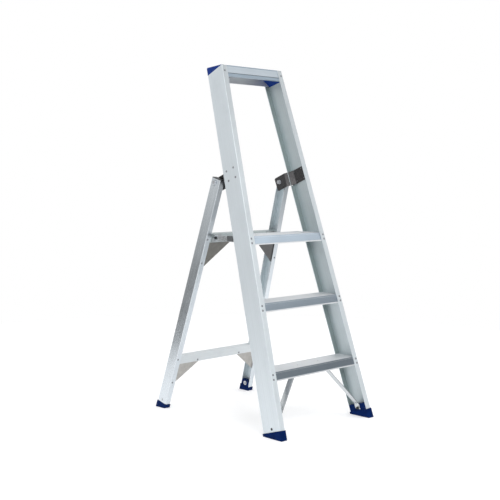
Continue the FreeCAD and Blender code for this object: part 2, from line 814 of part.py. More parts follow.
def hinge_hardware(name, side):
    shank = cylinder(f"hinge_bolt_{name}_shank", pivot_spot(side, HINGE_BOLT_END), S.hinge_bolt_r,
                     HINGE_HEAD_AT - HINGE_BOLT_END)
    head = hexagon(f"hinge_bolt_{name}_head", pivot_spot(side, HINGE_HEAD_AT), HINGE_ACROSS, 6.4)
    keep(f"hinge_bolt_{name}", fuse(f"hinge_bolt_{name}", [shank, head]))
    bush = cylinder(f"hinge_bush_{name}_tube", pivot_spot(side, 200.2), S.bush_r, 32)
    bore = cylinder(f"hinge_bush_{name}_bore", pivot_spot(side, 200), S.hinge_bolt_r, 33)
    cut(f"hinge_bush_{name}", bush, [bore])


def hinge_nuts_and_washers():
    """Inner nuts and the washers on both sides of each hinge, as two nodes of separate solids."""
    nuts, washers = [], []
    for side in SIDES.values():
        outwards = pivot_spot(side, HINGE_NUT_AT)
        facing_in = outwards * placed(axis=X_AXIS, angle=180)
        nuts.append(hexagon("hinge_nut", facing_in, HINGE_ACROSS, 8))
        for distance in (HINGE_NUT_AT, 236.3):
            washers.append(cylinder("hinge_washer", pivot_spot(side, distance), 10.5, 1.6))
    bores = [cylinder("hinge_bore", pivot_spot(side, 170), S.hinge_bolt_r, 80) for side in SIDES.values()]
    nut_set = doc.addObject("Part::Compound", "hinge_nut_blanks")
    nut_set.Links = nuts
    washer_set = doc.addObject("Part::Compound", "hinge_washer_blanks")
    washer_set.Links = washers
    cut("hinge_nuts", nut_set, bores)
    cut("hinge_washers", washer_set, bores)


# ---------------------------------------------------------------- rear braces and gussets

def rear_brace(label, low, high, half, spots):
    """Angle across the rear legs, behind their front flanges, folded backwards along its top."""
    body = new_body(f"{label}_angle", REAR)
    face, thick = S.leg_wall, S.brace_thick
    sketch = outline(body, "YZ_Plane", [
        (face, low), (face, high), (face + S.brace_fold, high), (face + S.brace_fold, high - thick),
        (face + thick, high - thick), (face + thick, low)])
    pad(body, sketch, half * 2, symmetric=True)
    cut(label, body, drills(label, spots, S.rivet_r, 7))


def gusset(label, side, brace_low, tip, down, spots):
    """Triangular plate behind the brace and the leg's front flange."""
    body = new_body(f"{label}_plate", REAR * placed(y=(S.leg_wall + S.brace_thick).value))
    top = brace_low + S.gusset_lap
    wall = S.leg_wall + 0.8

    def web_x(up):
        return S.leg_half_foot - TILT_R * up - wall

    edge_x = web_x(brace_low - down) - S.leg_flange
    slope = down / (edge_x - tip)
    heel_in = 12
    heel = brace_low - down - slope * (S.leg_flange - heel_in)
    points = [(tip - 10, brace_low + 4), (tip - 10, top), (web_x(top), top), (web_x(heel), heel),
              (web_x(heel) - heel_in, heel), (tip, brace_low)]
    sketch = outline(body, "XZ_Plane", [(side * x, up) for x, up in points])
    pad(body, sketch, S.gusset_thick, backwards=True)
    cut(label, body, drills(label, spots, S.rivet_r, 9))


# ---------------------------------------------------------------- stays

def stay_bracket(name, side):
    """Angle bracket on the back of the stile's rear flange, with an ear for the stay's pivot."""
    label = f"stay_bracket_{name}"
    thick = S.ear_thick
    radius = 13
    ear_x = (S.ear_out - thick).value
    base_wide = 34
    base_x = ear_x if side == RIGHT else -ear_x - base_wide
    base_low = STAY_PIVOT_ALONG - 18
    base = box(f"{label}_base", FRONT * placed(base_x, S.stile_deep.value, base_low), base_wide, thick, 36)
    arm_x = ear_x if side == RIGHT else -S.ear_out.value
    arm_start = FRONT * placed(arm_x, S.stile_deep.value, STAY_PIVOT_ALONG - radius)
    arm = box(f"{label}_arm", arm_start, thick, S.stay_pivot_deep - S.stile_deep, 2 * radius)
    end = cylinder(f"{label}_end", stay_spot(side, ear_x), radius, thick)
    whole = fuse(f"{label}_whole", [base, arm, end])
    tools = drills(label, stay_bracket_spots(side), S.rivet_r, 7)
    tools += drills(label, [stay_spot(side, 222)], S.stay_pin_r, 12)
    cut(label, whole, tools)


def stay(name, side):
    """Flat bar from its pivot on the stile to an open slot that drops over the catch pin."""
    label = f"stay_{name}"
    inner_x = (S.stay_out - S.stay_thick).value
    start = WORLD * placed(side * inner_x, STAY_PIVOT_BACK, S.stay_pivot_up.value)
    body = new_body(f"{label}_bar", start)
    half = S.stay_tall / 2
    length = S.stay_reach + S.stay_nose
    sketch = outline(body, "YZ_Plane", [(-half, -half), (length, -half), (length, half), (-half, half)])
    pad(body, sketch, S.stay_thick, backwards=side == LEFT)
    corners = [(y, z) for y in (-half.value, length.value) for z in (-half.value, half.value)]
    round_edges(body, half * 0.98, lambda edge: any(edge_along_x(edge, y, z) for y, z in corners))
    catch = stay_spot(side, S.stay_out.value + 1, S.stay_reach.value)
    seat = cylinder(f"{label}_seat", catch * placed(z=-6), S.slot_wide / 2, 7)
    slant = 90 - S.slot_slant.value
    wide = S.slot_wide.value
    mouth_frame = WORLD * placed(0, STAY_PIVOT_BACK + S.stay_reach.value, S.stay_pivot_up.value)
    mouth_x = side * S.stay_out.value - 5
    mouth_place = mouth_frame * placed(mouth_x, 0, 0, X_AXIS, -slant) * placed(0, -wide / 2, -30)
    mouth = box(f"{label}_mouth", mouth_place, 10, S.slot_wide, 30)
    slot = fuse(f"{label}_slot", [seat, mouth])
    bore = drills(label, [stay_spot(side, S.stay_out.value)], S.stay_pin_r + S.running_gap, 5)
    cut(label, body, [slot] + bore)


def stay_grip(name, side):
    """Moulded finger grip clipped over the stay's upper edge."""
    label = f"stay_grip_{name}"
    body = new_body(f"{label}_clip", WORLD * placed(side * S.stay_out.value, STAY_PIVOT_BACK, S.stay_pivot_up.value))
    start, end, low = 24, 61, -10
    thick, cover = 1.9, 2.5
    half = S.stay_tall / 2
    sketch = outline(body, "YZ_Plane", [(start, low), (end, low), (end, half + cover), (start, half + cover)])
    pad(body, sketch, thick, backwards=side == LEFT)
    round_edges(body, Size.of(4), lambda edge: any(edge_along_x(edge, y, low) for y in (start, end)))
    inner_x = (S.stay_out - S.stay_thick).value
    top_x = inner_x if side == RIGHT else -S.stay_out.value
    top_place = WORLD * placed(top_x, STAY_PIVOT_BACK + start, (S.stay_pivot_up + half).value)
    top = box(f"{label}_top", top_place, S.stay_thick, end - start, cover)
    keep(label, fuse(label, [body, top]))


def catch_bracket(name, side):
    """Angle bracket on the upper brace whose ear carries the catch pin."""
    label = f"catch_bracket_{name}"
    thick = S.ear_thick
    radius = 9
    face = (S.leg_wall - thick).value
    inner_edge = 150
    wide = S.catch_out - inner_edge
    base_x = inner_edge if side == RIGHT else -S.catch_out.value
    base_low = S.upper_brace_low.value + 3
    base = box(f"{label}_base", REAR * placed(base_x, face, base_low), wide, thick, 38)
    ear_x = (S.catch_out - thick).value if side == RIGHT else -S.catch_out.value
    arm = box(f"{label}_arm", REAR * placed(ear_x, CATCH_DEEP, CATCH_ALONG - radius), thick, face - CATCH_DEEP,
              2 * radius)
    end = cylinder(f"{label}_end", stay_spot(side, (S.catch_out - thick).value, S.stay_reach.value), radius, thick)
    whole = fuse(f"{label}_whole", [base, arm, end])
    tools = drills(label, catch_spots(side), S.rivet_r, 7)
    tools += drills(label, [stay_spot(side, 213, S.stay_reach.value)], S.stay_pin_r, 10)
    cut(label, whole, tools)


CATCH_HEAD_AT = 214.5         # under the catch pin's head, outside the stay
CATCH_PIN_END = 201


def catch_pins():
    pins = []
    for name, side in SIDES.items():
        reach = S.stay_reach.value
        inner = (S.catch_out - S.ear_thick).value
        shank = cylinder(f"catch_pin_{name}_shank", stay_spot(side, CATCH_PIN_END, reach), S.stay_pin_r,
                         CATCH_HEAD_AT - CATCH_PIN_END)
        head = hexagon(f"catch_pin_{name}_head", stay_spot(side, CATCH_HEAD_AT, reach), 12, 4.2)
        collar = hexagon(f"catch_pin_{name}_nut", stay_spot(side, inner, reach) * placed(axis=X_AXIS, angle=180),
                         12, 4.5)
        pins.append(fuse(f"catch_pin_{name}", [shank, head, collar]))
    item = doc.addObject("Part::Compound", "catch_pins")
    item.Links = pins
    keep("catch_pins", item)


def stay_pivots():
    pins = []
    for name, side in SIDES.items():
        inner = (S.stay_out - S.stay_thick).value - 0.2
        shank = cylinder(f"stay_pivot_{name}_shank", stay_spot(side, inner), S.stay_pin_r, S.ear_out - inner)
        head = cylinder(f"stay_pivot_{name}_head", stay_spot(side, S.ear_out.value), 7, 2.4)
        pins.append(fuse(f"stay_pivot_{name}", [shank, head]))
    item = doc.addObject("Part::Compound", "stay_pivots")
    item.Links = pins
    keep("stay_pivots", item)


FOOT_NUT_ACROSS = 11


def foot_bolts(label, place_of, grip, washer_r):
    """Bolts through web, plug and what lies on its inner face, with washers and nuts, in one node."""
    washer = 1.5
    bolts = []
    for name, side in SIDES.items():
        place = place_of(side)
        end = grip.value + washer + 8
        shank_scale = (S.foot_bolt_r / S.rivet_r).value
        bolt = rivet(f"{label}_{name}_turned", end, tail=False, scale=shank_scale)
        bolt.Placement = place
        disc = cylinder(f"{label}_{name}_washer", place * placed(z=-grip.value - washer - 0.1), washer_r, washer)
        facing_in = place * placed(z=-grip.value - washer - 0.1) * placed(axis=X_AXIS, angle=180)
        nut = hexagon(f"{label}_{name}_nut", facing_in, FOOT_NUT_ACROSS, 5)
        bolts.append(fuse(f"{label}_{name}", [bolt, disc, nut]))
    item = doc.addObject("Part::Compound", label)
    item.Links = bolts
    keep(label, item)


# ---------------------------------------------------------------- the whole ladder

def rivets():
    front = rivet("rivet_front", S.stile_wall + S.skirt_recess + S.skirt_thick)
    group_of("tread_front_rivets", front,
             [place for step in range(3) for place in both(lambda side: tread_front_spots(step, side))])
    thin = rivet("rivet_thin", S.stile_wall + S.skirt_thick)
    group_of("tread_rear_rivets", thin,
             [place for step in range(2) for place in both(lambda side: tread_rear_spots(step, side))])
    plate = rivet("rivet_plate", S.stile_wall + S.hinge_thick)
    group_of("hinge_plate_rivets", plate, both(hinge_spots))
    deep = rivet("rivet_deep", 13, tail=False)
    group_of("top_bar_rivets", deep, both(top_bar_spots))
    bracket = rivet("rivet_bracket", S.ear_thick + S.stile_wall + S.skirt_thick)
    group_of("stay_bracket_rivets", bracket, both(stay_bracket_spots))
    flush = rivet("rivet_flush", S.foot_brace_thick + S.plate_thick + S.rib_high, tail=False)
    group_of("foot_brace_rivets", flush, both(lambda side: [foot_brace_spot(side)]))
    brace = rivet("rivet_brace", S.leg_wall + S.brace_thick + S.gusset_thick)
    group_of("rear_brace_rivets", brace, both(brace_spots))
    group_of("gusset_rivets", brace, both(gusset_leg_spots))
    tip = rivet("rivet_tip", S.brace_thick + S.gusset_thick)
    group_of("gusset_tip_rivets", tip, both(gusset_tip_spots))
    catch = rivet("rivet_catch", S.ear_thick + S.brace_thick + S.gusset_thick)
    group_of("catch_bracket_rivets", catch, both(catch_spots))


def build():
    for name, side in SIDES.items():
        stile(name, side)
        corner_cap(name, side)
        foot(f"front_foot_{name}", stile_frame(side), side, S.stile_deep, S.stile_flange, S.stile_wall,
             S.stile_low, S.front_plug_high, foot_bolt_spot(side))
        foot_brace(name, side)
        hinge_plate(name, side)
        hinge_hardware(name, side)
        stay_bracket(name, side)
        stay(name, side)
        stay_grip(name, side)
        catch_bracket(name, side)
        rear_leg(name, side)
        foot(f"rear_foot_{name}", leg_frame(side), side, S.leg_deep, S.leg_flange, S.leg_wall,
             S.leg_low, S.rear_plug_high, rear_foot_spot(side))
        leg_cap(name, side)
        leg_spots, tip_spots = gusset_leg_spots(side), gusset_tip_spots(side)
        through = brace_spots(side)
        gusset(f"upper_gusset_{name}", side, S.upper_brace_low, S.upper_gusset_tip, S.upper_gusset_down,
               [through[0], leg_spots[0], tip_spots[0]] + catch_spots(side))
        gusset(f"lower_gusset_{name}", side, S.lower_brace_low, S.lower_gusset_tip, S.lower_gusset_down,
               [through[1], leg_spots[1], tip_spots[1]])
    tread("bottom_tread", 0)
    tread("middle_tread", 1)
    platform(2)
    top_bar()
    hinge_nuts_and_washers()
    catch_pins()
    stay_pivots()
    foot_bolts("front_foot_bolts", foot_bolt_spot, S.stile_flange + S.lug_gap + S.foot_brace_thick, 6.5)
    foot_bolts("rear_foot_bolts", rear_foot_spot, S.leg_flange, 10.5)
    upper_spots = both(lambda side: [brace_spots(side)[0], gusset_tip_spots(side)[0]] + catch_spots(side))
    lower_spots = both(lambda side: [brace_spots(side)[1], gusset_tip_spots(side)[1]])
    rear_brace("upper_rear_brace", S.upper_brace_low, S.upper_brace_high, S.upper_brace_half, upper_spots)
    rear_brace("lower_rear_brace", S.lower_brace_low, S.lower_brace_high, S.lower_brace_half, lower_spots)
    rivets()


def check():
    for item in doc.Objects:
        if {"Invalid", "Error"} & set(item.State):
            raise SystemExit(f"{item.Name} failed: {item.State}")
    for label, item in NODES.items():
        if item.Shape.isNull() or not item.Shape.isValid():
            raise SystemExit(f"{label} has no valid shape")
        if not item.Shape.Solids:
            raise SystemExit(f"{label} has no solid")


build()
doc.recompute()
check()
os.makedirs("parts", exist_ok=True)
for label, item in NODES.items():
    item.Shape.exportStep(f"parts/{label}.step")
    print(f"{label}: {len(item.Shape.Solids)} solid(s), {item.Shape.Volume / 1000:.1f} cm3")
print("nodes:", len(NODES))
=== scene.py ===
import json
import math
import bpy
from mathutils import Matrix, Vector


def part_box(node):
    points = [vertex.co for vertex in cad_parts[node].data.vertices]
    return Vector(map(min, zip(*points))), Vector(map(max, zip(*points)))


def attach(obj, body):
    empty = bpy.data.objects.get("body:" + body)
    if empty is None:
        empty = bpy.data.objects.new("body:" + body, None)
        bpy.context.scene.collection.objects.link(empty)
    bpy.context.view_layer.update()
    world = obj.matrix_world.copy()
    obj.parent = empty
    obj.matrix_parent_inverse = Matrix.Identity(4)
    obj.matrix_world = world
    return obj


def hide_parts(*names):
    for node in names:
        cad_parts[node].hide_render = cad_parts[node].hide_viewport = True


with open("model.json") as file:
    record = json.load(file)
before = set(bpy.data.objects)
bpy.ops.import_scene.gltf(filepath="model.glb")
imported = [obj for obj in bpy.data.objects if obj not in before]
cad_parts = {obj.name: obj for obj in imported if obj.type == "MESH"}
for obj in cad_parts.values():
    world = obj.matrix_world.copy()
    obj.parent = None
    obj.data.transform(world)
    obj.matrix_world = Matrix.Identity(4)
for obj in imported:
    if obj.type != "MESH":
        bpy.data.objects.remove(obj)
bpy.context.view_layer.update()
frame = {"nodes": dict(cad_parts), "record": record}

import zlib

import bmesh
import bpy
import numpy as np
from mathutils import Matrix, Vector

# A platform stepladder in mill-finish aluminium with blue plastic corners and feet.
# Metres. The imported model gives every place; materials are procedural.

MM = 0.001
SIDES = ("left", "right")
BODY_OF = {node: body for body, nodes in frame["record"]["behaviour"]["bodies"].items() for node in nodes}
LEAN = math.radians(17.8)             # of the climbing frame, from upright


# ---------------------------------------------------------------- shader graphs

class Graph:
    """A node tree, built by small calls that each return an output socket."""

    def __init__(self, tree):
        self.tree = tree
        self.tree.nodes.clear()
        self.base = None

    def add(self, kind, **settings):
        node = self.tree.nodes.new(kind)
        for key, value in settings.items():
            setattr(node, key, value)
        return node

    def feed(self, node, socket, value):
        if isinstance(value, bpy.types.NodeSocket):
            self.tree.links.new(value, node.inputs[socket])
        else:
            node.inputs[socket].default_value = value

    def place(self, scale=(1, 1, 1), turn=(0, 0, 0), shift=0.0):
        """The piece's grain coordinates, with Z along its length, stretched and turned."""
        if self.base is None:
            self.base = self.add("ShaderNodeAttribute", attribute_name="grain").outputs["Vector"]
        mapping = self.add("ShaderNodeMapping")
        self.feed(mapping, "Vector", self.base)
        self.feed(mapping, "Scale", scale)
        self.feed(mapping, "Rotation", turn)
        self.feed(mapping, "Location", (shift, shift, shift))
        return mapping.outputs["Vector"]

    def noise(self, vector, scale=1.0, detail=3.0, roughness=0.5):
        node = self.add("ShaderNodeTexNoise")
        self.feed(node, "Vector", vector)
        self.feed(node, "Scale", scale)
        self.feed(node, "Detail", detail)
        self.feed(node, "Roughness", roughness)
        return node.outputs["Fac"]

    def cells(self, vector, scale):
        node = self.add("ShaderNodeTexVoronoi")
        self.feed(node, "Vector", vector)
        self.feed(node, "Scale", scale)
        return node.outputs["Distance"]

    def maths(self, operation, first, second):
        node = self.add("ShaderNodeMath", operation=operation)
        self.feed(node, 0, first)
        self.feed(node, 1, second)
        return node.outputs["Value"]

    def spread(self, value, low, high, to_low=0.0, to_high=1.0, smooth=False):
        """The part of value between low and high, as to_low to to_high."""
        kind = "SMOOTHSTEP" if smooth else "LINEAR"
        node = self.add("ShaderNodeMapRange", interpolation_type=kind, clamp=True)
        self.feed(node, "Value", value)
        self.feed(node, "From Min", low)
        self.feed(node, "From Max", high)
        self.feed(node, "To Min", to_low)
        self.feed(node, "To Max", to_high)
        return node.outputs["Result"]

    def mix(self, factor, first, second):
        node = self.add("ShaderNodeMix", data_type="RGBA")
        colours = [socket for socket in node.inputs if socket.type == "RGBA"]
        self.feed(node, 0, factor)
        for socket, value in zip(colours, (first, second)):
            if isinstance(value, bpy.types.NodeSocket):
                self.tree.links.new(value, socket)
            else:
                socket.default_value = value
        return next(socket for socket in node.outputs if socket.type == "RGBA")

    def bump(self, height, distance, strength):
        node = self.add("ShaderNodeBump")
        self.feed(node, "Height", height)
        self.feed(node, "Distance", distance)
        self.feed(node, "Strength", strength)
        return node.outputs["Normal"]

    def painted_height_shading(self, colour, low, high, low_brightness, high_brightness):
        """The colour with painted shading: its brightness running between two heights of the piece."""
        height = self.add("ShaderNodeSeparateXYZ")
        self.feed(height, "Vector", self.add("ShaderNodeTexCoord").outputs["Object"])
        brightness = self.spread(height.outputs["Z"], low, high, low_brightness, high_brightness)
        scaled = self.add("ShaderNodeVectorMath", operation="SCALE")
        self.feed(scaled, 0, colour)
        self.feed(scaled, "Scale", brightness)
        return scaled.outputs["Vector"]

    def worn_edges(self, radius):
        """1 on outer and inner edges, 0 on flat faces."""
        rounded = self.add("ShaderNodeBevel", samples=4)
        self.feed(rounded, "Radius", radius)
        flat = self.add("ShaderNodeNewGeometry").outputs["Normal"]
        dot = self.add("ShaderNodeVectorMath", operation="DOT_PRODUCT")
        self.feed(dot, 0, rounded.outputs["Normal"])
        self.feed(dot, 1, flat)
        return self.spread(dot.outputs["Value"], 0.995, 0.90)


class Surface(Graph):
    """A material around one Principled shader."""

    def __init__(self, name):
        self.material = bpy.data.materials.new(name)
        self.material.use_nodes = True
        super().__init__(self.material.node_tree)
        self.shader = self.add("ShaderNodeBsdfPrincipled")
        output = self.add("ShaderNodeOutputMaterial")
        self.tree.links.new(self.shader.outputs["BSDF"], output.inputs["Surface"])

    def set(self, **inputs):
        """Sets or links the shader's own inputs, named with underscores for spaces."""
        for name, value in inputs.items():
            self.feed(self.shader, name.replace("_", " "), value)


def tint(colour, factor):
    return (*[channel * factor for channel in colour[:3]], 1)


def scratches(graph, amount=0.72):
    """Fine scratches in three directions, 0 to 1."""
    total = None
    for index in range(3):
        turn = (0.35 + index * 0.9, 0.6 - index * 0.5, 0.25 + index * 1.1)
        stretched = graph.place(scale=(700, 700, 9), turn=turn, shift=index * 3.1)
        line = graph.spread(graph.noise(stretched, detail=1.0), amount, amount + 0.07)
        broken = graph.spread(graph.noise(graph.place(shift=index * 1.3 + 6.0), scale=26.0), 0.45, 0.6)
        line = graph.maths("MULTIPLY", line, broken)
        total = line if total is None else graph.maths("MAXIMUM", total, line)
    return total


def extruded_aluminium(name, colour, roughness, metallic, clouding=0.35, lines=0.5, painted_shading=None):
    """Mill-finish aluminium: die lines along its length, faint stains, handling dulling and scratches.

    Painted shading, if given, is a low height, a high height, and the brightness painted on at each of
    them, standing in for light and reflection.
    """
    graph = Surface(name)
    fine = graph.noise(graph.place(scale=(900, 900, 1.1)), detail=4.0, roughness=0.65)
    die = graph.noise(graph.place(scale=(260, 260, 0.4), shift=1.7), detail=3.0)
    cloud = graph.noise(graph.place(shift=4.3), scale=6.0, detail=5.0, roughness=0.6)
    speck = graph.cells(graph.place(shift=8.8), scale=150.0)
    marks = scratches(graph)
    edge = graph.worn_edges(0.8 * MM)
    stain = graph.spread(cloud, 0.48, 0.72, 0.0, clouding, smooth=True)
    lined = graph.mix(graph.spread(die, 0.35, 0.65), tint(colour, 1 - 0.05 * lines), tint(colour, 1.02))
    stained = graph.mix(stain, lined, tint(colour, 0.84))
    dusted = graph.mix(graph.spread(speck, 0.05, 0.11, 0.22, 0.0), stained, tint(colour, 0.62))
    marked = graph.mix(graph.maths("MULTIPLY", marks, 0.45), dusted, tint(colour, 0.74))
    rubbed = graph.mix(graph.maths("MULTIPLY", edge, 0.4), marked, tint(colour, 1.12))
    # Painted shading: the colour is made lighter and darker with height, standing in for light and
    # reflection.
    if painted_shading is not None:
        rubbed = graph.painted_height_shading(rubbed, *painted_shading)
    rough = graph.spread(fine, 0.3, 0.7, roughness - 0.04 * lines, roughness + 0.05 * lines)
    rough = graph.maths("ADD", rough, graph.spread(cloud, 0.3, 0.7, -0.04, 0.06))
    height = graph.maths("ADD", graph.maths("MULTIPLY", fine, lines), graph.maths("MULTIPLY", marks, -0.8))
    graph.set(Base_Color=rubbed, Metallic=metallic, Roughness=rough,
              Normal=graph.bump(height, 0.02 * MM, 0.25))
    return graph.material


def sheet_metal(name, colour, roughness, metallic=1.0, speckle=0.3):
    """Rolled or plated steel: soft mottling, rolling marks, fine spangle and rubbed edges."""
    graph = Surface(name)
    mottle = graph.noise(graph.place(), scale=38.0, detail=6.0, roughness=0.65)
    rolled = graph.noise(graph.place(scale=(900, 900, 14)), detail=3.0)
    fine = graph.noise(graph.place(shift=2.0), scale=1400.0, detail=2.0)
    marks = scratches(graph)
    edge = graph.worn_edges(0.9 * MM)
    chipped = graph.maths("MULTIPLY", edge, graph.spread(mottle, 0.42, 0.58))
    toned = graph.mix(graph.spread(mottle, 0.3, 0.7), tint(colour, 0.84), tint(colour, 1.10))
    rubbed = graph.mix(graph.maths("MULTIPLY", chipped, 0.5), toned, tint(colour, 1.5))
    marked = graph.mix(graph.maths("MULTIPLY", marks, 0.3), rubbed, tint(colour, 1.3))
    rough = graph.spread(rolled, 0.3, 0.7, roughness - 0.06, roughness + 0.08)
    height = graph.maths("ADD", rolled, graph.maths("MULTIPLY", fine, speckle))
    graph.set(Base_Color=marked, Metallic=metallic, Roughness=rough,
              Normal=graph.bump(height, 0.03 * MM, 0.45))
    return graph.material


def moulded_plastic(name, colour, roughness, level=0.35):
    """Injection-moulded plastic: fine pebbled grain, cloudy tone, paler rubbed edges and scuffs."""
    graph = Surface(name)
    pebble = graph.cells(graph.place(), scale=900.0)
    coarse = graph.noise(graph.place(shift=2.2), scale=320.0, detail=3.0)
    cloud = graph.noise(graph.place(shift=5.0), scale=45.0, detail=5.0, roughness=0.65)
    marks = scratches(graph, amount=0.68)
    edge = graph.worn_edges(1.2 * MM)
    rubbed = graph.maths("MULTIPLY", edge, graph.spread(cloud, 0.35, 0.6))
    toned = graph.mix(graph.spread(cloud, 0.3, 0.7), tint(colour, 0.7), tint(colour, 1.3))
    worn = graph.mix(graph.maths("MULTIPLY", rubbed, 0.3), toned, tint(colour, 2.4))
    marked = graph.mix(graph.maths("MULTIPLY", marks, 0.25), worn, tint(colour, 2.0))
    rough = graph.spread(cloud, 0.3, 0.7, roughness - 0.06, roughness + 0.1)
    height = graph.maths("ADD", pebble, graph.maths("MULTIPLY", coarse, 0.7))
    graph.set(Base_Color=marked, Metallic=0.0, Roughness=rough, IOR=1.5, Specular_IOR_Level=level,
              Normal=graph.bump(height, 0.09 * MM, 0.7))
    return graph.material


def studio_floor():
    """White paper sweep with the faintest unevenness."""
    graph = Surface("studio_floor")
    graph.base = graph.add("ShaderNodeTexCoord").outputs["Object"]
    soft = graph.noise(graph.place(), scale=1.5, detail=3.0)
    fibre = graph.noise(graph.place(shift=3.0), scale=600.0, detail=2.0)
    graph.set(Base_Color=graph.mix(soft, (0.90, 0.90, 0.905, 1), (0.93, 0.93, 0.935, 1)), Roughness=0.8,
              Specular_IOR_Level=0.1, Emission_Color=(1, 1, 1, 1), Emission_Strength=0.16,
              Normal=graph.bump(fibre, 0.1 * MM, 0.3))
    return graph.material


MATERIALS = {
    "stile": extruded_aluminium("stile_aluminium", (0.695, 0.75, 0.785), 0.5, 0.8),
    # Painted shade: the stile's front, inside and return looks are the stile aluminium made darker, the
    # return darkest; the front is also graded, painted lighter near the floor and darker towards the top.
    "stile_front": extruded_aluminium("stile_front_painted_shading_aluminium", (0.655, 0.705, 0.735), 0.5, 0.8,
                                      painted_shading=(0.3, 1.5, 1.18, 0.76)),
    "stile_inside": extruded_aluminium("stile_inside_painted_shade_aluminium", (0.58, 0.645, 0.67), 0.46, 0.85),
    "stile_return": extruded_aluminium("stile_return_painted_shade_aluminium", (0.34, 0.40, 0.40), 0.5, 0.8),
    "leg": extruded_aluminium("leg_aluminium", (0.70, 0.75, 0.79), 0.17, 0.97, lines=1.4),
    # Painted shading: the leg's front is graded from a touch lighter low down to much darker at its top,
    # and the leg's inside is a touch darker, painted shade; the leg's return keeps the leg's tone.
    "leg_front": extruded_aluminium("leg_front_painted_shading_aluminium", (0.66, 0.71, 0.75), 0.3, 0.95, lines=1.4,
                                    painted_shading=(0.55, 1.2, 1.05, 0.40)),
    "leg_inside": extruded_aluminium("leg_inside_painted_shade_aluminium", (0.64, 0.71, 0.75), 0.42, 0.85, lines=1.6),
    "leg_return": extruded_aluminium("leg_return_aluminium", (0.68, 0.74, 0.76), 0.45, 0.75, lines=1.6),
    "lower_brace": extruded_aluminium("brace_aluminium", (0.66, 0.70, 0.72), 0.45, 0.8),
    "upper_brace": extruded_aluminium("upper_brace_aluminium", (0.42, 0.47, 0.475), 0.42, 0.85),
    "tread": extruded_aluminium("tread_aluminium", (0.74, 0.76, 0.78), 0.5, 0.7),
    # Painted shade: a tread's front is the tread aluminium made darker and bluer, graded lighter on higher
    # treads.
    "skirt": extruded_aluminium("skirt_painted_shade_aluminium", (0.37, 0.435, 0.50), 0.34, 0.92,
                                painted_shading=(0.28, 0.78, 0.72, 1.14)),
    "strip": extruded_aluminium("strip_aluminium", (0.66, 0.69, 0.71), 0.24, 0.95, clouding=0.8, lines=1.2),
    # Painted shade: the top bar's face, its strips above and below, its lip's underside and its groove are
    # its aluminium made darker, the groove darkest.
    "top_face": extruded_aluminium("top_face_painted_shade_aluminium", (0.44, 0.49, 0.535), 0.45, 0.8),
    "top_shade": extruded_aluminium("top_shade_aluminium", (0.28, 0.34, 0.40), 0.45, 0.8),
    "top_groove": extruded_aluminium("groove_painted_shade_aluminium", (0.13, 0.155, 0.165), 0.5, 0.6),
    "cap_blue": moulded_plastic("cap_blue_plastic", (0.006, 0.034, 0.21), 0.45, level=0.14),
    "foot_blue": moulded_plastic("foot_blue_plastic", (0.001, 0.013, 0.080), 0.34, level=0.04),
    "dark_plastic": moulded_plastic("dark_plastic", (0.022, 0.023, 0.027), 0.5),
    "grip_plastic": moulded_plastic("grip_plastic", (0.10, 0.105, 0.11), 0.5),
    "dark_steel": sheet_metal("dark_steel", (0.10, 0.098, 0.10), 0.28, 0.95),
    "bracket_steel": sheet_metal("bracket_steel", (0.42, 0.45, 0.46), 0.42, 0.85),
    "gusset_steel": sheet_metal("gusset_steel", (0.20, 0.195, 0.18), 0.40, 0.85),
    "shaded_gusset_steel": sheet_metal("shaded_gusset_steel", (0.13, 0.13, 0.13), 0.40, 0.85),
    "lower_gusset_steel": sheet_metal("lower_gusset_steel", (0.46, 0.45, 0.43), 0.44, 0.8),
    "zinc_steel": sheet_metal("zinc_steel", (0.62, 0.64, 0.67), 0.32),
    "dark_bolt": sheet_metal("dark_bolt", (0.05, 0.052, 0.056), 0.35, 0.9),
    "rivet": sheet_metal("rivet_steel", (0.26, 0.27, 0.29), 0.36, speckle=0.4),
}


# ---------------------------------------------------------------- pieces

SAME_PLANE = math.radians(0.6)        # faces that meet at less are one plane
BEVELLED_FROM = math.radians(38)      # edges that turn more are softened
SHADED_SHARP_FROM = math.radians(32)  # edges that turn more stay sharp in shading
WIDE_FACE = 4 * MM                    # a face wider on average is shaded flat


def lengthwise(points):
    """The rotation whose Z axis is the points' longest direction, and their middle."""
    middle = points.mean(0)
    values, vectors = np.linalg.eigh(np.cov((points - middle).T))
    axis = Vector(vectors[:, int(np.argmax(values))])
    if axis[int(np.argmax(np.abs(axis)))] < 0:
        axis.negate()
    return axis.to_track_quat("Z", "Y").to_matrix(), Vector(middle)


def add_grain(data, name, turn, middle):
    """Stores each point's place along and across its piece, shifted by an offset of the piece's own."""
    count = len(data.vertices)
    points = np.empty(count * 3, np.float32)
    data.vertices.foreach_get("co", points)
    seed = zlib.crc32(name.encode())
    offset = np.array([(seed >> shift) % 997 / 100 for shift in (0, 8, 16)])
    grain = (points.reshape(-1, 3) - np.array(middle)) @ np.array(turn) + offset
    attribute = data.attributes.new("grain", "FLOAT_VECTOR", "POINT")
    attribute.data.foreach_set("vector", grain.astype(np.float32).ravel())


def welded(node):
    """A CAD node's mesh with its seams welded and its flat faces whole."""
    mesh = bmesh.new()
    mesh.from_mesh(frame["nodes"][node].data)
    bmesh.ops.remove_doubles(mesh, verts=mesh.verts, dist=0.01 * MM)
    bmesh.ops.dissolve_limit(mesh, angle_limit=SAME_PLANE, verts=mesh.verts, edges=mesh.edges)
    return mesh


def soften(mesh, width):
    """Bevels every sharp edge."""
    edges = [edge for edge in mesh.edges
             if len(edge.link_faces) == 2 and edge.calc_face_angle(0.0) > BEVELLED_FROM]
    bmesh.ops.bevel(mesh, geom=edges, offset=width, segments=2, profile=0.5, affect="EDGES",
                    clamp_overlap=True)


def flat_faces(mesh):
    """The wide faces, with every sliver that lies in the same plane beside them."""
    wide = [face for face in mesh.faces
            if face.calc_area() > WIDE_FACE * max(edge.calc_length() for edge in face.edges)]
    flat = set(wide)
    while wide:
        for edge in wide.pop().edges:
            for face in edge.link_faces:
                if face not in flat and edge.calc_face_angle(1.0) < SAME_PLANE:
                    flat.add(face)
                    wide.append(face)
    return flat


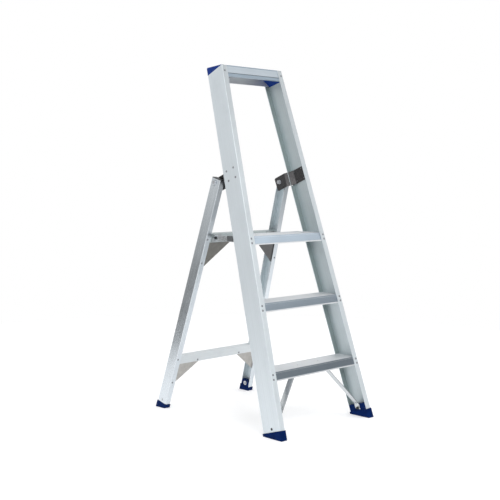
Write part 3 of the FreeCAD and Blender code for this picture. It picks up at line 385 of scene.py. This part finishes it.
def finish_piece(name, mesh, material_names, node, aligned=None):
    """Turns a bmesh into an object that rides on its node's body and stands for the node."""
    flat = flat_faces(mesh)
    rounded = [face not in flat for face in mesh.faces]
    data = bpy.data.meshes.new(name)
    mesh.to_mesh(data)
    mesh.free()
    data.set_sharp_from_angle(angle=SHADED_SHARP_FROM)
    data.polygons.foreach_set("use_smooth", rounded)
    for key in material_names:
        data.materials.append(MATERIALS[key])
    turn, middle = aligned or (Matrix.Identity(3), Vector())
    add_grain(data, name, turn, middle)
    piece = bpy.data.objects.new(name, data)
    bpy.context.scene.collection.objects.link(piece)
    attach(piece, BODY_OF[node])
    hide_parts(node)


def softened(node, material_names, width, painter=None):
    """The CAD node with edges softened by a width in millimetres and its grain running along its length.

    A painter takes the mesh and the node's name and returns a function from a face to its material's index.
    """
    mesh = welded(node)
    aligned = lengthwise(np.array([vertex.co for vertex in mesh.verts], float))
    soften(mesh, width * MM)
    if painter is not None:
        mesh.normal_update()
        paint = painter(mesh, node)
        for face in mesh.faces:
            face.material_index = paint(face)
    finish_piece(f"{node}_shaped", mesh, material_names, node, aligned)


def channel_painter(mesh, node):
    """Marks a channel's web, inside, as material 1, its flanges' inner faces as 2 and its front as 3; these
    looks carry painted shade.
    """
    inwards = Vector((-1 if node.endswith("right") else 1, 0, 0))
    middle = Vector(np.mean([vertex.co for vertex in mesh.verts], axis=0))

    def ahead(face):
        return (face.calc_center_median() - middle).dot(face.normal)

    reach = [ahead(face) for face in mesh.faces if face.normal.dot(inwards) > 0.9]
    halfway = (min(reach) + max(reach)) / 2
    of_flanges = [face for face in mesh.faces if abs(face.normal.x) < 0.3]
    flange_normal = max(of_flanges, key=lambda face: face.calc_area()).normal.copy()

    def paint(face):
        if face.normal.dot(inwards) > 0.9:
            return 1 if ahead(face) < halfway else 0
        if abs(face.normal.dot(flange_normal)) < 0.95:
            return 0
        if ahead(face) < 0:
            return 2
        return 3 if face.normal.y < 0 else 0

    return paint


OUTWARD = Vector((0, -math.cos(LEAN), math.sin(LEAN)))    # square to the climbing frame's front
UPWARD = Vector((0, math.sin(LEAN), math.cos(LEAN)))      # along it

TOP_GROOVE_LOW = 13.2 * MM            # heights above the top bar's low edge
TOP_GROOVE_HIGH = 17.8 * MM
TOP_EDGE_LOW = 47.6 * MM
TOP_FACE_DEPTH = 1.5 * MM             # what lies deeper than the groove is behind the face
TOP_LIP_DEPTH = 40 * MM


def top_bar_painter(mesh, node):
    """Marks the top bar's groove as material 1, its face as 3 and what is above and below that as 2, all
    three painted shade.
    """
    face_at = max(vertex.co.dot(OUTWARD) for vertex in mesh.verts)
    low = min(vertex.co.dot(UPWARD) for vertex in mesh.verts)
    everything = mesh.verts[:] + mesh.edges[:] + mesh.faces[:]
    bmesh.ops.bisect_plane(mesh, geom=everything, plane_co=UPWARD * (low + TOP_EDGE_LOW), plane_no=UPWARD)

    def paint(face):
        middle = face.calc_center_median()
        depth = face_at - middle.dot(OUTWARD)
        height = middle.dot(UPWARD) - low
        # The lip's underside gets painted shade too.
        if face.normal.dot(UPWARD) < -0.5 and depth < TOP_LIP_DEPTH:
            return 2
        if depth > TOP_FACE_DEPTH:
            return 0
        if TOP_GROOVE_LOW < height < TOP_GROOVE_HIGH:
            return 1
        return 3 if TOP_GROOVE_HIGH < height < TOP_EDGE_LOW else 2

    return paint


SKIRT_HIGH = 0.5 * MM                 # depths below a tread's top
SKIRT_LOW = 33.2 * MM
SKIRT_REACH = 30 * MM                 # behind a tread's front


def skirt_painter(mesh, node):
    """Marks the front of a tread, from its nose down to its lower bead, as material 1, its painted-shade
    look.
    """
    low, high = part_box(node)

    def paint(face):
        middle = face.calc_center_median()
        facing_out = face.normal.dot(OUTWARD) > 0.6
        at_height = SKIRT_HIGH < high.z - middle.z < SKIRT_LOW
        at_front = middle.y < low.y + SKIRT_REACH
        return 1 if facing_out and at_height and at_front else 0

    return paint


# ---------------------------------------------------------------- rivets

def islands(mesh):
    """The mesh's separate solids, each as an array of its points."""
    seen = set()
    for start in mesh.verts:
        if start in seen:
            continue
        stack, members = [start], []
        seen.add(start)
        while stack:
            vertex = stack.pop()
            members.append(vertex.co.copy())
            for edge in vertex.link_edges:
                other = edge.other_vert(vertex)
                if other not in seen:
                    seen.add(other)
                    stack.append(other)
        yield np.array(members, float)


def rivet_frame(points):
    """Where a rivet's head meets the sheet, which way it faces, its head's radius and height, its depth."""
    middle = points.mean(0)
    values, vectors = np.linalg.eigh(np.cov((points - middle).T))
    gaps = [abs(values[1] - values[2]), abs(values[0] - values[2]), abs(values[0] - values[1])]
    axis = vectors[:, int(np.argmin(gaps))]
    along = (points - middle) @ axis
    radial = np.linalg.norm(points - middle - np.outer(along, axis), axis=1)
    widest = radial.max()
    head_at = along[radial > widest * 0.98].mean()
    if head_at < (along.max() + along.min()) / 2:
        axis, along, head_at = -axis, -along, -head_at
    base = middle + axis * head_at
    head = along.max() - head_at
    depth = head_at - along.min()
    return Vector(base), Vector(axis), float(widest), float(head), float(depth)


def lathe(mesh, place, profile, segments=24):
    """Turns a profile of (radius, height) points about the place's Z axis and closes its ends."""
    rings = []
    for radius, height in profile:
        if radius < 1e-7:
            rings.append([mesh.verts.new(place @ Vector((0, 0, height)))])
            continue
        ring = []
        for step in range(segments):
            angle = 2 * math.pi * step / segments
            point = Vector((radius * math.cos(angle), radius * math.sin(angle), height))
            ring.append(mesh.verts.new(place @ point))
        rings.append(ring)
    for lower, upper in zip(rings, rings[1:]):
        for step in range(segments):
            after = (step + 1) % segments
            corners = [lower[step % len(lower)], lower[after % len(lower)],
                       upper[after % len(upper)], upper[step % len(upper)]]
            unique = list(dict.fromkeys(corners))
            if len(unique) > 2:
                mesh.faces.new(unique)


def rivet_profile(radius, head, depth):
    """Blind rivet from its far end to the rim of the hole its mandrel leaves."""
    shank = radius * 0.5
    under = -0.02 * MM
    rim = 0.12 * head
    points = [(0, -depth), (shank * 0.92, -depth), (shank, -depth + 0.3 * MM), (shank, under),
              (radius, under), (radius, rim)]
    for step in range(1, 6):
        angle = math.radians(14 + step * 13.0)
        points.append((radius * math.cos(angle), rim + (head - rim) * math.sin(angle)))
    points += [(radius * 0.23, head * 0.96), (radius * 0.20, head * 0.60), (radius * 0.13, head * 0.56),
               (0, head * 0.62)]
    return points


def rivets(node):
    """The node's rivets with turned heads, all in one piece."""
    source = welded(node)
    mesh = bmesh.new()
    for points in islands(source):
        base, axis, radius, head, depth = rivet_frame(points)
        place = Matrix.Translation(base) @ axis.to_track_quat("Z", "Y").to_matrix().to_4x4()
        lathe(mesh, place, rivet_profile(radius, head, depth))
    source.free()
    bmesh.ops.recalc_face_normals(mesh, faces=mesh.faces)
    finish_piece(f"{node}_turned", mesh, ["rivet"], node)


# ---------------------------------------------------------------- the ladder

UPPER_GUSSET_LOOKS = {"left": "gusset_steel", "right": "shaded_gusset_steel"}


def build_ladder():
    """One piece for every node."""
    for side in SIDES:
        for node, look in ((f"stile_{side}", "stile"), (f"rear_leg_{side}", "leg")):
            # The inside, return and front looks are copies of the channel's aluminium made darker as
            # painted shade; only the leg's return keeps the leg's tone.
            looks = [look, f"{look}_inside", f"{look}_return", f"{look}_front"]
            softened(node, looks, 0.35, channel_painter)
        softened(f"foot_brace_{side}", ["strip"], 0.35)
        softened(f"stay_{side}", ["strip"], 0.35)
        softened(f"stay_grip_{side}", ["grip_plastic"], 0.5)
        softened(f"corner_cap_{side}", ["cap_blue"], 0.5)
        softened(f"front_foot_{side}", ["foot_blue"], 0.6)
        softened(f"rear_foot_{side}", ["foot_blue"], 0.6)
        softened(f"leg_cap_{side}", ["dark_plastic"], 0.4)
        softened(f"hinge_plate_{side}", ["dark_steel"], 0.5)
        softened(f"stay_bracket_{side}", ["bracket_steel"], 0.4)
        softened(f"catch_bracket_{side}", ["bracket_steel"], 0.4)
        softened(f"upper_gusset_{side}", [UPPER_GUSSET_LOOKS[side]], 0.35)
        softened(f"lower_gusset_{side}", ["lower_gusset_steel"], 0.35)
        softened(f"hinge_bolt_{side}", ["zinc_steel"], 0.25)
        softened(f"hinge_bush_{side}", ["zinc_steel"], 0.25)
    for node in ("bottom_tread", "middle_tread", "platform"):
        # Each tread's front takes the skirt look, painted shade.
        softened(node, ["tread", "skirt"], 0.2, skirt_painter)
    softened("upper_rear_brace", ["upper_brace"], 0.3)
    softened("lower_rear_brace", ["lower_brace"], 0.3)
    # The top bar's groove, strips and face take looks with painted shade.
    softened("top_bar", ["tread", "top_groove", "top_shade", "top_face"], 0.3, top_bar_painter)
    for node in ("hinge_nuts", "hinge_washers", "stay_pivots", "rear_foot_bolts"):
        softened(node, ["zinc_steel"], 0.2)
    softened("catch_pins", ["dark_bolt"], 0.2)
    softened("front_foot_bolts", ["dark_bolt"], 0.2)
    for node in BODY_OF:
        if node.endswith("_rivets"):
            rivets(node)


# ---------------------------------------------------------------- studio

CAMERA_PLACE = (-3.4531, -3.2413, 1.1718)
CAMERA_YAW = math.radians(45.96)      # from +Y towards +X
CAMERA_PITCH = math.radians(-4.94)
CAMERA_ROLL = math.radians(1.05)
CAMERA_LENS = 73.72
CAMERA_LEVEL = Vector((math.cos(CAMERA_YAW), -math.sin(CAMERA_YAW), 0))   # to its right, without the roll


def add_camera():
    data = bpy.data.cameras.new("camera")
    data.lens = CAMERA_LENS
    data.sensor_width = 36
    camera = bpy.data.objects.new("camera", data)
    ahead = Vector((math.sin(CAMERA_YAW), math.cos(CAMERA_YAW), 0))
    forward = ahead * math.cos(CAMERA_PITCH) + Vector((0, 0, math.sin(CAMERA_PITCH)))
    up = CAMERA_LEVEL.cross(forward)
    right = CAMERA_LEVEL * math.cos(CAMERA_ROLL) + up * math.sin(CAMERA_ROLL)
    above = up * math.cos(CAMERA_ROLL) - CAMERA_LEVEL * math.sin(CAMERA_ROLL)
    turn = Matrix((right, above, -forward)).transposed()
    camera.matrix_world = Matrix.Translation(CAMERA_PLACE) @ turn.to_4x4()
    bpy.context.scene.collection.objects.link(camera)
    bpy.context.scene.camera = camera


def add_softbox(name, place, target, size, power):
    data = bpy.data.lights.new(name, "AREA")
    data.shape = "RECTANGLE"
    data.size, data.size_y = size
    data.energy = power
    light = bpy.data.objects.new(name, data)
    direction = Vector(target) - Vector(place)
    light.matrix_world = Matrix.Translation(place) @ direction.to_track_quat("-Z", "Y").to_matrix().to_4x4()
    bpy.context.scene.collection.objects.link(light)


def stepped(graph, value, stops):
    """Follows (position, brightness) stops smoothly."""
    node = graph.add("ShaderNodeValToRGB")
    ramp = node.color_ramp
    ramp.interpolation = "EASE"
    for index, (position, brightness) in enumerate(stops):
        stop = ramp.elements[index] if index < 2 else ramp.elements.new(position)
        stop.position = position
        stop.color = (brightness, brightness, brightness, 1)
    graph.feed(node, "Fac", value)
    return node.outputs["Color"]


LOWEST, HIGHEST = -0.25, 1.0          # the sines of elevation that the walls' stops run between
# Each wall is a row of (sine of elevation, brightness).
LEFT_WALL = ((-0.24, 0.95), (-0.16, 0.30), (-0.03, 0.24), (0.03, 0.60), (0.11, 0.95), (1.0, 1.0))
RIGHT_WALL = ((-0.20, 0.60), (-0.05, 0.25), (0.15, 0.25), (0.28, 0.45), (0.50, 0.85), (1.0, 1.0))


def add_world():
    """White surroundings with two dim walls square to the camera's view, for the metal to reflect."""
    world = bpy.data.worlds.new("studio")
    bpy.context.scene.world = world
    world.use_nodes = True
    graph = Graph(world.node_tree)
    direction = graph.add("ShaderNodeTexCoord").outputs["Generated"]
    parts = graph.add("ShaderNodeSeparateXYZ")
    graph.feed(parts, "Vector", direction)
    across = graph.add("ShaderNodeVectorMath", operation="DOT_PRODUCT")
    graph.feed(across, 0, direction)
    graph.feed(across, 1, CAMERA_LEVEL)
    colour = (1, 1, 1, 1)
    for stops, begins, full in ((LEFT_WALL, -0.30, -0.62), (RIGHT_WALL, 0.30, 0.62)):
        height = graph.spread(parts.outputs["Z"], LOWEST, HIGHEST)
        placed = [((sine - LOWEST) / (HIGHEST - LOWEST), brightness) for sine, brightness in stops]
        share = graph.spread(across.outputs["Value"], begins, full, smooth=True)
        colour = graph.mix(share, colour, stepped(graph, height, placed))
    background = graph.add("ShaderNodeBackground")
    graph.feed(background, "Color", colour)
    graph.feed(background, "Strength", 1.0)
    output = graph.add("ShaderNodeOutputWorld")
    graph.tree.links.new(background.outputs["Background"], output.inputs["Surface"])


FLOOR_RADIUS = 3.0


def add_floor():
    mesh = bmesh.new()
    bmesh.ops.create_circle(mesh, cap_ends=True, segments=96, radius=FLOOR_RADIUS)
    data = bpy.data.meshes.new("floor")
    mesh.to_mesh(data)
    mesh.free()
    data.materials.append(studio_floor())
    floor = bpy.data.objects.new("floor", data)
    bpy.context.scene.collection.objects.link(floor)


def add_studio():
    bpy.context.scene.view_settings.view_transform = "Standard"
    add_world()
    add_floor()
    middle = (0, 0, 0.8)
    add_softbox("key", (-1.6, -3.6, 3.6), middle, (2.6, 2.6), 70)
    add_softbox("fill", (3.0, -3.0, 3.2), middle, (2.0, 2.0), 20)


build_ladder()
add_camera()
add_studio()
